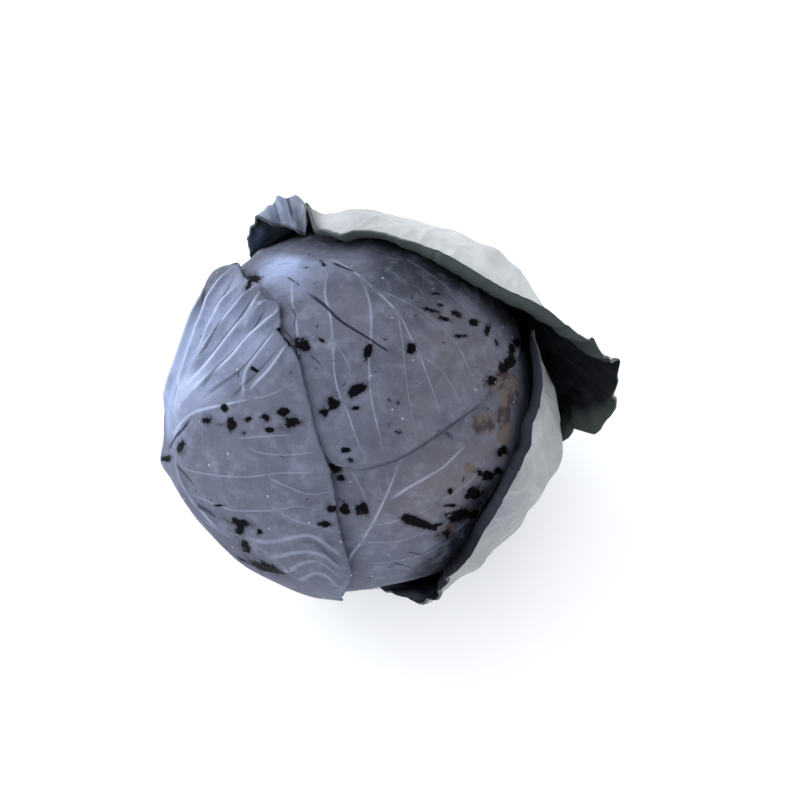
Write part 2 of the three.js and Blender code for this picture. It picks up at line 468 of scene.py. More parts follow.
print("margin points lie at least", LEAST_STEP_DEG, "degrees apart")

# %% [markdown]
# Blender hands all the points of a mesh over as one array, which is faster than asking for them one by
# one. Numbers can be stored on the points in the same way. The last helper evens ridges out, because a
# slanting ridge on a square grid would look stepped.

# %% Read, move and mark the points of a mesh
def start_shape(name, add, location=(0, 0, 0), **sizes):
    bpy.ops.object.select_all(action="DESELECT")
    add(location=location, **sizes)
    made = bpy.context.object
    made.name = name
    return made


def points_of(mesh):
    flat = np.empty(len(mesh.vertices) * 3)
    mesh.vertices.foreach_get("co", flat)
    return flat.reshape(-1, 3)


def put_points(mesh, places):
    mesh.vertices.foreach_set("co", places.ravel())


def add_mark(mesh, name, values):
    layer = mesh.attributes.new(name, "FLOAT", "POINT")
    layer.data.foreach_set("value", np.asarray(values, np.float32))


def softened(values):
    """Evens each grid point out with its neighbours, so that slanting ridges don't look stepped."""
    count = int(round(math.sqrt(len(values))))
    grid = values.reshape(count, count).copy()
    for _ in range(2):
        grid[1:-1] = (grid[:-2] + 2 * grid[1:-1] + grid[2:]) / 4
        grid[:, 1:-1] = (grid[:, :-2] + 2 * grid[:, 1:-1] + grid[:, 2:]) / 4
    return grid.ravel()


peak = np.zeros(25)
peak[12] = 1.0
print("a lone peak of 1 mm softens to", round(float(softened(peak).max()), 2), "mm")

# %% [markdown]
# Now one helper can build any leaf. Veins, creases, blots and wax are stored on the points as numbers,
# with painted light and shade in the wax and in a mark of its own, and the finish reads them later.
# They could be painted as pictures too, but pictures need unwrapping, and these numbers move with the
# leaf when its shape changes.

# %% Build a leaf
LEAF_CELLS = 210
LEAF_THICKNESS = 1.0


def leaf_mesh(name, leaf, cells=LEAF_CELLS):
    piece = start_shape(name + "_skin", bpy.ops.mesh.primitive_grid_add,
                        x_subdivisions=cells, y_subdivisions=cells, size=2)
    piece.data.name = piece.name
    mesh = piece.data
    u, v = points_of(mesh)[:, :2].T
    share = np.maximum(np.abs(u), np.abs(v))
    degrees = np.degrees(np.arctan2(v, u))
    edge = margin_of(leaf, degrees)
    distance = share * edge
    x, y = distance * np.cos(np.radians(degrees)), distance * np.sin(np.radians(degrees))
    place = curled(leaf, distance, degrees, edge)
    if "outline" in leaf:
        place = pulled_to_outline(leaf, place, distance, degrees, edge)
    if "reshape" in leaf:
        place = leaf["reshape"](place, x, y)

    side, gap, force, ridge, soft = line_marks(x, y, leaf["veins"])
    cut_side, cut_gap, cut_force, cut_ridge, cut_soft = line_marks(x, y, leaf.get("creases", []))
    put_points(mesh, stand(place))
    mesh.update()
    normals = np.empty(len(mesh.vertices) * 3)
    mesh.vertex_normals.foreach_get("vector", normals)
    soft, cut_soft = softened(soft), softened(cut_soft)
    rise = softened(ridge - cut_ridge) + leaf["relief"](x, y, share)
    final = stand(place) + normals.reshape(-1, 3) * rise[:, None] / 1000
    final[:, 2] = np.maximum(final[:, 2], (leaf["floor"] + LEAF_THICKNESS) / 1000)
    put_points(mesh, final)

    marks = {"vein_side": side, "vein_gap": gap, "vein_force": force,
             "crease_side": cut_side, "crease_gap": cut_gap, "crease_force": cut_force,
             "vein_soft": soft, "crease_soft": cut_soft,
             "blot": blot_marks(x, y, leaf, leaf.get("blots", [])),
             "brown": blot_marks(x, y, leaf, leaf.get("brown", [])),
             "bloom": leaf["bloom"](x, y), "margin_mm": (1 - share) * edge,
             "flush": bumps_at(x, y, leaf.get("flush", [])),
             "painted_shade_and_light": bumps_at(x, y, leaf.get("painted_shade_and_light", []))}
    for mark, values in marks.items():
        add_mark(mesh, mark, values)
    bpy.ops.object.shade_smooth()
    mesh.materials.append(None)
    mesh.materials.append(None)
    solid = piece.modifiers.new("Thickness", "SOLIDIFY")
    solid.thickness = LEAF_THICKNESS / 1000
    solid.offset = -1
    solid.use_even_offset = False
    solid.material_offset = 1
    bpy.ops.object.modifier_apply(modifier=solid.name)
    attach(piece, "root")
    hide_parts(name)
    box = np.array([list(c) for c in piece.bound_box]) * 1000
    print(name, "mm:", np.round(box.min(0), 1), "to", np.round(box.max(0), 1),
          len(piece.data.polygons), "faces")
    return piece


SIX = [6] * 18
FLAT = [0] * 18
print("a leaf of", LEAF_CELLS, "cells each way has about", 4 * LEAF_CELLS ** 2, "triangles when it is solid")

# %% [markdown]
# Where a leaf goes round to the hidden side, grown veins take over from the traced ones. Of each grown
# vein only the hidden run is kept, so none crosses the part that was traced.

# %% Grow veins on the hidden side only
def in_view(leaf, x, y):
    """Above zero where the photo sees the leaf's place on the head, and below zero round the back."""
    ways = wrap(leaf["axes"], np.atleast_1d(np.asarray(x, float)), np.atleast_1d(np.asarray(y, float)))
    return ways @ np.array([0, -math.sin(TURN), math.cos(TURN)])


def hidden_only(leaf, lines):
    kept = []
    for points, width, height, strength in lines:
        p = np.array(points)
        away = in_view(leaf, p[:, 0], p[:, 1]) < 0.02
        if away.sum() > 2:
            first = int(np.argmax(away))
            run = p[first:]
            stop = np.argmin(away[first:]) if not away[first:].all() else len(run)
            if stop > 2:
                kept.append((run[:stop], width, height, strength))
    return kept


def inside(leaf):
    edges = margin_of(leaf, np.arange(0.0, 360.0, 3.0))

    def reach(x, y):
        turn = math.degrees(math.atan2(y, x)) % 360
        return math.hypot(x, y) < 0.95 * edges[int(turn / 3) % len(edges)]
    return reach


def back_veins(leaf, midrib, seed):
    return hidden_only(leaf, grow_veins(midrib, seed, inside(leaf), 15, 0.7, 0.5, 0.5))


crown_axes = {"axes": leaf_axes(0, 0)}
print("the crown is in view:", bool(in_view(crown_axes, 0, 0) > 0))

# %% [markdown]
# ## The left leaf
# This leaf wraps the whole left side. It is the brightest one: it has a bloom of wax, and painted
# sheen towards its left rim. A knuckle at the left edge is where its midrib comes over from behind, and
# from there strong pleats run up to the torn tip and finer veins run to the right. Everything listed
# here is read from the photo as pixel places.

# %% Left leaf
left_leaf = {
    "axes": leaf_axes(186, 82), "seen_radius": 76.3, "layer": 8.2, "seed": 11, "fray": 0.22,
    "margin": [103, 106, 102, 99, 93, 90, 86, 77, 75, 67, 71, 78, 88, 104, 105, 104, 104, 103],
    "lift": [0.4, 0.6, 0.4, 0.3, 0.3, 0.5, 1.5, 2.0, 2.5, 1, 0, 0, 0, 0, 0, 0, 0, 0],
    "roll": FLAT, "band": SIX, "floor": 5.2,
    "traced": [(340, 599), (353, 573), (345, 547), (338, 521), (334, 489), (331, 472), (325, 455),
               (320, 444), (314, 422), (308, 396), (302, 368), (297, 355), (290, 343), (281, 334),
               (283, 322), (281, 305), (270, 297), (262, 286), (254, 284), (246, 279), (241, 266),
               (230, 268), (221, 265), (215, 268)],
    "traced_from": 270,
}
left_pleats = [
    [(167, 413), (182, 357), (198, 314), (211, 279)],
    [(182, 397), (203, 326), (214, 298), (239, 268)],
    [(177, 416), (190, 381), (203, 351), (217, 318), (242, 286)],
    [(188, 386), (203, 359), (223, 326), (239, 308), (258, 287)],
    [(185, 397), (214, 362), (239, 330), (254, 313), (263, 292)],
    [(179, 413), (198, 389), (230, 362), (249, 340), (262, 330), (278, 316), (282, 306)],
]
left_small_pleats = [
    [(246, 329), (262, 308), (268, 302)],
    [(244, 394), (249, 370), (262, 351), (278, 333)],
    [(252, 389), (268, 373), (281, 356), (289, 345)],
    [(175, 439), (193, 415), (230, 404), (252, 399)],
]
left_veins = [
    [(179, 464), (203, 473), (249, 477), (281, 473), (325, 472)],
    [(268, 478), (286, 486), (309, 494), (332, 491)],
    [(249, 448), (262, 453), (286, 455), (319, 451)],
    [(239, 438), (271, 436), (293, 435)],
    [(250, 399), (268, 396), (286, 388), (300, 380)],
    [(190, 492), (220, 505), (234, 510), (276, 510), (298, 506), (330, 512)],
    [(276, 510), (298, 521), (317, 526), (337, 531)],
    [(205, 520), (228, 531), (246, 537)],
]
left_low_folds = [
    [(246, 537), (270, 540), (290, 537), (309, 534), (322, 539), (335, 548), (343, 556)],
    [(271, 556), (293, 551), (312, 550), (326, 554), (341, 566)],
    [(280, 570), (292, 567), (303, 561), (319, 559), (333, 568), (341, 577)],
    [(300, 578), (315, 571), (328, 573), (340, 585)],
]
left_rim_ribs = [
    [(167, 480), (185, 497), (203, 521), (222, 543), (239, 558)],
    [(177, 464), (185, 483), (196, 502), (214, 521), (236, 539)],
]
left_midrib = [(0, -104), (6, -70), (9, -30), (11, -4)]
left_leaf["veins"] = (
    same_lines(left_leaf, left_pleats, 0.95, 2.8, 0.95)
    + same_lines(left_leaf, left_small_pleats, 0.75, 1.7, 0.6)
    + same_lines(left_leaf, left_veins, 0.45, 0.4, 0.24)
    + same_lines(left_leaf, left_low_folds, 1.2, 1.0, 0.27)
    + same_lines(left_leaf, left_rim_ribs, 1.1, 1.1, 0.35)
    + [(left_midrib, 2.6, 2.2, 0.5)]
    + back_veins(left_leaf, left_midrib, 21)
)
# Creases between the pleats and round the knuckle; the finish paints them dark as shade in the grooves.
left_leaf["creases"] = photo_lines(left_leaf, [
    ([(170, 448), (182, 432), (195, 417)], 0.7, 0.5, 0.9),
    ([(178, 464), (187, 476), (196, 488)], 1.2, 0.6, 0.7),
    ([(198, 504), (208, 511), (218, 518)], 1.2, 0.5, 0.7),
    ([(239, 558), (262, 568), (286, 572)], 1.1, 0.4, 0.9),
    ([(176, 398), (190, 352), (202, 314), (213, 284)], 1.0, 0.7, 0.6),
    ([(190, 380), (199, 357), (210, 325), (226, 293), (239, 276)], 1.0, 0.8, 0.75),
    ([(196, 374), (209, 350), (224, 324), (240, 301), (250, 290)], 1.0, 0.8, 0.75),
    ([(198, 374), (215, 352), (234, 327), (247, 310), (257, 296)], 1.0, 0.7, 0.75),
    ([(203, 389), (226, 363), (245, 342), (257, 326), (269, 308)], 1.0, 0.8, 0.7),
    ([(205, 396), (238, 373), (258, 353), (278, 328)], 1.0, 0.6, 0.5),
    ([(232, 397), (248, 383), (264, 366), (286, 344)], 0.9, 0.6, 0.45),
    ([(262, 290), (268, 299), (279, 303)], 1.0, 0.4, 0.5),
    ([(300, 542), (312, 542), (325, 549), (338, 562)], 1.0, 0.5, 0.3),
    ([(305, 557), (320, 559), (332, 566), (340, 575)], 1.0, 0.5, 0.3),
])
left_leaf["blots"] = [
    (208, 421, 6, 4, 20), (220, 425, 5, 2, 0), (231, 423, 5, 6, 0), (248, 419, 4, 3, 0),
    (266, 417, 5, 4, 0), (283, 412, 5, 3, 0), (293, 423, 10, 5, 10), (244, 433, 3, 3, 0),
    (269, 430, 4, 2, 0), (225, 409, 3, 4, 0), (240, 522, 12, 4, -10), (240, 528, 4, 7, 0),
    (260, 531, 3, 3, 0), (246, 545, 4, 7, 30), (262, 565, 22, 4, -15), (220, 505, 5, 1, 0),
    (332, 508, 6, 4, 0), (327, 523, 7, 3, 0), (183, 446, 4, 6, 0), (170, 458, 4, 3, 0),
    (223, 266, 5, 2, 10), (211, 281, 2, 4, 0), (215, 272, 2, 4, 40), (230, 267, 3, 2, 20),
    (237, 266, 3, 1, 0), (285, 322, 2, 4, 10), (288, 336, 3, 5, 0), (292, 345, 2, 4, -10),
    # The first two blots on the next line are painted shadow in the gap under the lifted tip.
    (246, 272, 3, 4, 20), (252, 286, 3, 9, -30), (281, 331, 3, 2, 0), (256, 370, 4, 2, -30),
]


def left_relief(x, y, share):
    """A knuckle where the midrib comes over, long low ripples, and a flare at the torn tip."""
    raised = bumps_at(x, y, photo_spots(left_leaf, ((162, 462, 3.2, 4.6), (214, 274, 3.0, 5.0))))
    ripple = 0.25 * np.sin(0.21 * x + 1.3) * np.sin(0.17 * y + 0.4)
    return raised + ripple


# More wax towards the left rim: partly the leaf's wax and partly painted sheen where the leaf turns away.
left_wax_and_painted_sheen = photo_spots(left_leaf, (
    (174, 405, 0.85, 11), (192, 345, 0.6, 12), (222, 300, 0.45, 13), (248, 340, 0.5, 12),
    (205, 385, 0.45, 8), (164, 465, 0.35, 6), (185, 505, 0.25, 7)))
left_leaf["relief"] = left_relief
left_leaf["bloom"] = lambda x, y: 0.02 + bumps_at(x, y, left_wax_and_painted_sheen)
print("left leaf:", len(left_leaf["veins"]), "veins and", len(left_leaf["blots"]), "blots")
left = leaf_mesh("left_leaf", left_leaf)

# %% [markdown]
# ## The crown leaf
# The crown leaf covers the middle of the head. Its veins fan out from under the hood down to a free
# margin, which is the long curved line across the lower half. It has the long dark score, a square
# burnt patch, a brown bruise at the right and small flecks.

# %% Crown leaf
crown_leaf = {
    "axes": leaf_axes(118, 66), "seen_radius": 75.0, "layer": 7.0, "seed": 12, "fray": 0.12,
    "margin": [62, 66, 76, 92, 112, 116, 117, 117, 116, 112, 98, 88, 94, 124, 124, 88, 72, 64],
    "lift": [0, 0, 0, 0, 0.3, 0.4, 0.4, 0.4, 0.3, 0, 0, 0, 0, 0, 0, 0, 0, 0],
    "roll": FLAT, "band": SIX, "floor": 4.0,
    "traced": [(322, 450), (335, 465), (345, 467), (365, 465), (390, 460), (415, 447), (440, 430),
               (460, 416), (480, 402), (490, 393), (500, 385), (510, 372), (516, 360), (522, 340),
               (520, 310)],
    "traced_from": 0,
}
crown_veins = [
    [(292, 279), (292, 298), (298, 333), (301, 373), (309, 405), (316, 426), (321, 439)],
    [(327, 274), (325, 295), (330, 314), (333, 343), (335, 377), (341, 399), (348, 413), (356, 437),
     (367, 461)],
    [(362, 280), (370, 305), (371, 333), (369, 365), (371, 397), (380, 437), (384, 453)],
    [(330, 259), (356, 274), (373, 289), (397, 313), (411, 338), (420, 356), (428, 377), (435, 397),
     (441, 421)],
]
crown_side_veins = [
    [(459, 346), (467, 365), (476, 381), (489, 389)],
    [(373, 289), (400, 300), (430, 318), (459, 346)],
    [(400, 257), (444, 286), (473, 311)],
    [(447, 292), (476, 318), (500, 345)],
    [(333, 343), (345, 358), (352, 380)],
    [(420, 356), (438, 366), (452, 385), (463, 410)],
    [(397, 313), (402, 340), (405, 370), (409, 400), (417, 440)],
]
crown_midrib = [(0, -124), (0, -80), (2, -40), (4, -4)]
crown_leaf["veins"] = (
    same_lines(crown_leaf, crown_veins, 0.55, 0.42, 0.4)
    + same_lines(crown_leaf, crown_side_veins, 0.45, 0.25, 0.23)
    + [(crown_midrib, 2.4, 1.4, 0.5)]
    + back_veins(crown_leaf, crown_midrib, 22)
)
crown_leaf["creases"] = photo_lines(crown_leaf, [
    ([(308, 293), (324, 305), (341, 321), (368, 338), (385, 349), (402, 358)], 0.8, 0.35, 1.0),
    ([(293, 309), (296, 318), (294, 328)], 0.5, 0.15, 0.8),
    ([(283, 330), (291, 337), (293, 345)], 0.5, 0.15, 0.7),
    ([(297, 352), (301, 366), (304, 380)], 0.5, 0.1, 0.7),
    ([(390, 350), (409, 364)], 0.4, 0.2, 0.6),
    ([(333, 263), (344, 268), (356, 273)], 0.8, 0.3, 1.0),
    ([(287, 276), (294, 281), (300, 286)], 0.5, 0.2, 0.9),
    ([(276, 263), (286, 262), (297, 262)], 0.35, 0.15, 0.6),
    ([(294, 355), (299, 364), (303, 372)], 0.6, 0.1, 0.8),
    ([(311, 356), (317, 361), (322, 366)], 0.5, 0.1, 0.7),
])
crown_leaf["blots"] = [
    (303, 347, 9, 7, 0), (298, 358, 5, 5, 40), (356, 392, 8, 5, 30), (334, 404, 9, 7, 0),
    (324, 413, 5, 5, 40), (346, 450, 5, 3, 0), (351, 460, 4, 3, 0), (368, 351, 4, 7, -20),
    (322, 341, 5, 2, -35), (411, 348, 5, 5, 0), (436, 294, 5, 2, 0), (429, 310, 7, 2, -10),
    (446, 319, 6, 2, -20), (456, 313, 5, 3, -30), (461, 336, 6, 2, 0), (488, 328, 3, 6, -20),
    (497, 342, 2, 4, 10), (513, 316, 3, 5, -30), (516, 344, 6, 8, 0), (509, 363, 9, 6, 20),
    (493, 379, 7, 5, 20), (440, 305, 4, 2, 0), (474, 322, 4, 3, 0), (306, 267, 5, 1, 0),
    # The second and third blots on the next line are painted shadow under the left leaf's lifted tip.
    (323, 264, 5, 2, -40), (252, 278, 8, 5, -25), (263, 290, 5, 2, -40), (355, 408, 4, 2, 0),
    (389, 424, 3, 3, 0), (398, 432, 4, 2, 0),
]
crown_leaf["brown"] = [(505, 385, 17, 20, -20), (497, 402, 14, 12, -35)]
crown_leaf["relief"] = lambda x, y, share: 0.3 * np.sin(0.12 * x + 0.5) * np.sin(0.1 * y + 2.0)
# Painted shadow of the hood: the strip of the crown leaf below the hood's rim is painted dark, with its wax
# taken away
hood_shadow_line = photo_curve(crown_leaf, (
    (388, 235), (404, 240), (420, 248), (441, 262), (472, 276), (500, 290)))
hood_shadow_end = photo_curve(crown_leaf, (
    (500, 290), (512, 300), (524, 312), (532, 345)))
hood_shadow_start = photo_curve(crown_leaf, (
    (318, 233), (330, 235), (345, 236), (368, 234), (388, 235)))
# Painted light: extra wax makes the upper left of the crown leaf bright blue, where light from the left
# falls on it.
crown_painted_light = photo_spots(crown_leaf, (
    (280, 262, 0.42, 8), (298, 250, 0.3, 8), (318, 262, 0.15, 8), (276, 273, 0.35, 8),
    (292, 284, 0.25, 8), (286, 246, 0.3, 8)))
# Near these two points the hood's painted shadow fades out.
shadow_free_ends = [photo_point(crown_leaf, px, py) for px, py in ((292, 262), (492, 366))]


# Crown wax with the hood's painted shadow: where the shadow lies the wax goes below zero and is painted
# dark.
def crown_wax_light_and_shadow(x, y):
    middle = np.interp(away_from(x, y, hood_shadow_line), [0, 15, 23, 30, 35, 40, 46, 57],
                       [1.1, 0.93, 0.82, 0.72, 0.6, 0.54, 0.38, 0])
    for centre in shadow_free_ends:
        middle = middle * step_up(np.hypot(x - centre[0], y - centre[1]), 16, 40)
    start = np.interp(away_from(x, y, hood_shadow_start), [0, 8, 15, 23], [1.1, 0.8, 0.42, 0])
    end = np.interp(away_from(x, y, hood_shadow_end), [0, 8, 16, 28], [1.05, 0.65, 0.35, 0])
    bare_and_shade = np.maximum(np.maximum(middle, start), end)
    return 0.1 + bumps_at(x, y, crown_painted_light) * np.clip(1 - 2 * bare_and_shade, 0, 1) - bare_and_shade


crown_leaf["bloom"] = crown_wax_light_and_shadow
crown_leaf["flush"] = photo_spots(crown_leaf, (
    (455, 350, 0.7, 18), (420, 425, 0.6, 16), (500, 370, 0.4, 14), (350, 315, 0.3, 12)))
print("crown leaf:", len(crown_leaf["veins"]), "veins and", len(crown_leaf["blots"]), "blots")
crown = leaf_mesh("crown_leaf", crown_leaf)

# %% [markdown]
# ## The lower leaf
# Below the crown leaf's margin lies the lower leaf. Its midrib rises from the bottom of the photo, with
# side veins to the right. It carries the largest black blots and ends in a dark lobe at the bottom.

# %% Lower leaf
lower_leaf = {
    "axes": leaf_axes(-70, 62), "seen_radius": 73.3, "layer": 5.3, "seed": 13, "fray": 0.2,
    "margin": [112, 104, 96, 92, 90, 88, 84, 80, 78, 76, 74, 78, 92, 130, 130, 96, 92, 104],
    "lift": FLAT, "roll": FLAT, "band": SIX, "floor": 3.0,
}
lower_veins = [
    [(343, 590), (348, 561), (362, 539), (373, 521), (384, 499), (396, 470), (402, 455)],
    [(391, 498), (407, 487), (426, 476), (442, 466), (456, 453), (466, 444)],
]
lower_side_veins = [
    [(437, 501), (459, 488), (472, 477), (488, 453)],
    [(370, 562), (394, 560), (423, 554), (447, 541)],
    [(351, 470), (359, 484), (368, 504)],
    [(375, 525), (395, 520), (420, 512), (440, 500)],
    [(362, 540), (380, 541), (405, 538), (430, 528)],
    [(430, 545), (455, 530), (480, 505), (500, 470)],
]
lower_midrib = [(-20, -128), (-22, -90), (-24, -50), (-26, -25)]
lower_leaf["veins"] = (
    same_lines(lower_leaf, lower_veins, 0.65, 0.6, 0.5)
    + same_lines(lower_leaf, lower_side_veins, 0.45, 0.25, 0.2)
    + [(lower_midrib, 2.2, 1.2, 0.5)]
    + back_veins(lower_leaf, lower_midrib, 23)
)
# The first crease runs under the crown leaf's margin and is painted dark as its shadow.
lower_leaf["creases"] = photo_lines(lower_leaf, [
    ([(352, 471), (371, 468), (396, 460), (420, 447), (444, 431), (465, 416), (486, 401)], 0.55, 0.2, 0.55),
    ([(394, 562), (408, 567), (421, 572)], 0.5, 0.2, 0.7),
    ([(408, 551), (416, 553), (424, 555)], 0.5, 0.2, 0.7),
])
lower_leaf["blots"] = [
    (346, 510, 5, 5, 0), (361, 510, 7, 6, 0), (335, 468, 6, 4, 0), (341, 478, 4, 3, 0),
    (486, 475, 8, 4, -10), (475, 495, 9, 8, 0), (465, 514, 15, 7, 20), (419, 522, 18, 5, -12),
    (408, 517, 8, 5, 0), (446, 534, 10, 6, 15), (450, 505, 9, 2, 0), (450, 490, 3, 3, 0),
    (500, 452, 7, 5, 40), (497, 470, 5, 4, 0), (430, 527, 8, 3, -20),
]
lower_leaf["brown"] = [(468, 468, 4, 5, 0), (486, 424, 14, 15, -40), (500, 437, 9, 14, -30),
                       (448, 530, 8, 5, 10), (507, 396, 11, 19, -15)]
lower_leaf["relief"] = lambda x, y, share: 0.3 * np.sin(0.11 * x + 2.2) * np.sin(0.12 * y)
# Painted shadow: along the gap under the right leaf's rolled rim the lower leaf loses its wax and is painted
# dark.
right_rim_shadow_line = photo_curve(lower_leaf, (
    (486, 504), (470, 527), (458, 544), (448, 558), (438, 572)))
lower_leaf["bloom"] = lambda x, y: 0.05 - np.interp(away_from(x, y, right_rim_shadow_line), [0, 6, 13, 18],
                                                    [1.15, 1.05, 0.6, 0])
lower_leaf["flush"] = photo_spots(lower_leaf, (
    (450, 478, 0.75, 15), (400, 505, 0.5, 12), (490, 440, 0.4, 12)))
print("lower leaf:", len(lower_leaf["veins"]), "veins and", len(lower_leaf["blots"]), "blots")
lower = leaf_mesh("lower_leaf", lower_leaf)

# %% [markdown]
# ## The right leaf
# The right leaf hugs the right side. Its free margin rolls outwards, so a dark strip of its inner face
# runs from under the hood down to the bottom of the head. Beyond the strip its pale outer face shows,
# puckered between raised veins.

# %% Right leaf
right_leaf = {
    "axes": leaf_axes(-25, 85), "seen_radius": 79.0, "layer": 9.7, "seed": 14, "fray": 0.3,
    "margin": [66, 65, 64, 61, 54, 49, 46, 44, 43, 43, 43, 43, 44, 45, 46, 47, 49, 53,
               61, 74, 80, 86, 94, 97, 99, 100, 101, 100, 99, 98, 96, 91, 86, 80, 74, 70],
    "lift": [1, 1, 1, 1, 1.5, 2, 2, 2.5, 2.5, 2.5, 2.5, 2.5, 2.5, 2.5, 2.5, 2.5, 3, 3,
             4, 3, 2, 1, 0.5, 0, 0, 0, 0, 0, 0, 0, 0, 0, 0, 0, 1, 1],
    "roll": [20, 30, 40, 70, 100, 120, 130, 135, 135, 135, 135, 135, 130, 120, 110, 100, 80, 50,
             20, 5, 0, 0, 0, 0, 0, 0, 0, 0, 0, 0, 0, 0, 0, 0, 10, 15],
    "band": [6, 6, 6, 6, 6, 6, 6, 6, 6, 6, 6, 6, 7, 9, 11, 12, 12, 11, 9, 7] + [6] * 16,
    "floor": 2.6, "outline_from": 30, "outline_reach": 20,
    "outline": [(540, 352, 31), (543, 379, 35), (541, 397, 39), (538, 411, 42), (532, 425, 44),
                (530, 447, 46), (524, 457, 47), (519, 471, 48), (510, 486, 50), (502, 502, 50),
                (493, 517, 50), (485, 529, 50), (478, 543, 49), (472, 554, 46), (462, 566, 43),
                (449, 577, 37), (444, 586, 29), (439, 595, 20), (432, 601, 14), (424, 605, 9),
                (416, 602, 6), (408, 597, 4), (397, 597, 2), (389, 593, -1), (381, 588, -5),
                (374, 578, -14)],
}
right_midrib = [(0, -100), (-2, -60), (0, -20), (2, 30)]
right_leaf["veins"] = [(right_midrib, 3.0, 2.0, 0.6)] + grow_veins(
    right_midrib, 24, inside(right_leaf), spacing=14, width=0.7, height=0.4, strength=0.5)
# Painted shade on the inner face near the bottom lobe.
right_leaf["painted_shade_and_light"] = [(np.array([-38.0, 16.0]), 1.0, 9), (np.array([-52.0, 2.0]), 1.0, 9),
                     (np.array([-26.0, 30.0]), 0.7, 7)]
right_bumps = photo_spots(right_leaf, (
    (560, 462, 6, 8), (556, 408, 3.5, 9), (529, 500, -1.5, 4), (520, 528, 2.5, 4.5), (492, 549, -1.8, 4),
    (479, 566, 1.2, 4)))


def right_relief(x, y, share):
    pucker = 0.45 * np.sin(0.33 * x + 0.6 * np.sin(0.2 * y)) * np.sin(0.29 * y + 0.7) * (1 - share ** 6)
    lobe_folds = 1.1 * step_up(share, 0.75, 1.0) * step_up(-x, 38, 46) * np.sin(0.75 * y - 0.3 * x)
    return pucker + bumps_at(x, y, right_bumps) + lobe_folds


right_leaf["relief"] = right_relief
# Painted light and shade on the pale face: lighter at one spot near the outline, darker at two spots lower
# down.
right_painted_light_and_shade = photo_spots(right_leaf, (
    (545, 440, 0.25, 14), (497, 522, -0.4, 10), (510, 505, -0.15, 8)))
right_leaf["bloom"] = lambda x, y: 0.18 + bumps_at(x, y, right_painted_light_and_shade)
right = leaf_mesh("right_leaf", right_leaf)

# %% [markdown]
# ## The hood leaf
# The hood stands off the back of the head. Its margin rolls out over the crown in a thin greenish
# strip, its left end folds over into a small ear, and its right end flares into a ruffled lobe that
# shows its dark inner face.

# %% Hood leaf
hood_leaf = {
    "axes": leaf_axes(50, 95), "seen_radius": 82.0, "layer": 12.3, "seed": 15, "fray": 0.3,
    "margin": [96, 96, 96, 90, 87, 80, 73, 67, 63, 61, 58, 54, 48, 43, 41, 45, 53, 65,
               75, 77, 76, 75, 74, 75, 78, 83, 88, 90, 90, 88, 86, 86, 88, 90, 92, 95],
    "lift": [0, 0, 0, 2, 5, 4.5, 4, 3.5, 3, 2.5, 2.5, 3, 4, 6, 10, 16, 22, 25,
             24, 18, 9, 4, 2, 0, 0, 0, 0, 0, 0, 0, 0, 0, 0, 0, 0, 0],
    "roll": [0, 0, 0, 0, 60, 70, 70, 90, 110, 115, 115, 115, 115, 110, 80, 50, 20, 10,
             5, 5, 5, 0, 0, 0, 0, 0, 0, 0, 0, 0, 0, 0, 0, 0, 0, 0],
    "band": [7, 7, 7, 7, 7, 7, 7, 8, 9, 9, 9, 9, 9, 9, 8, 7, 7, 7] + [7] * 18,
    "floor": 1.0, "outline_from": 38, "outline_reach": 24,
    "outline": [(303, 229, 34), (325, 229, 38), (341, 234, 43), (353, 230, 41), (370, 230, 41),
                (387, 233, 41), (400, 238, 42), (425, 246, 42), (443, 253, 45), (472, 269, 43),
                (490, 280, 40), (512, 292, 37), (536, 303, 33), (554, 315, 30), (566, 325, 28),
                (577, 332, 26), (590, 341, 24), (603, 350, 22), (611, 358, 20), (617, 368, 17),
                (619, 378, 14), (619, 389, 11), (617, 400, 8), (617, 407, 6), (610, 415, 4),
                (604, 422, 2), (602, 429, 0), (596, 434, -2), (588, 431, -4), (578, 427, -6),
                (572, 429, -8), (569, 438, -11), (562, 442, -13), (556, 446, -18)],
}
hood_midrib = [(0, -88), (2, -50), (0, -10), (-2, 40)]
hood_leaf["veins"] = [(hood_midrib, 3.4, 2.6, 0.8)] + grow_veins(
    hood_midrib, 25, inside(hood_leaf), spacing=14, width=0.9, height=0.55, strength=0.45)
hood_leaf["creases"] = [([(76.5, 12), (76, 22), (75.5, 34), (76, 44)], 0.8, 0.9, 0.8),
                        ([(80.5, 14), (80, 24), (80.5, 36), (81, 44)], 0.7, 0.7, 0.5)]
# Painted shade in the hollows of the lobe; the two negative ones are painted light on the ear's inner band.
hood_leaf["painted_shade_and_light"] = [(np.array([-57.0, 9.0]), 1.0, 6.5), (np.array([-46.0, 14.0]), 0.9, 7),
                    (np.array([-52.0, 22.0]), 0.5, 5), (np.array([89.0, 4.0]), -1.0, 8),
                    (np.array([88.0, 18.0]), -0.8, 6)]
hood_bumps = [(unwrap(hood_leaf["axes"], spot / np.linalg.norm(spot)), high, wide)
              for spot, high, wide in ((at_depth(470, 243, 0), 3.8, 9), (at_depth(505, 271, 0), 3.2, 7),
                                       (at_depth(518, 284, 4), 5.0, 6.5), (at_depth(362, 206, 0), 1.8, 6))]


LOBE_BEARING_DEG = 162
LOBE_REACH_DEG = 34


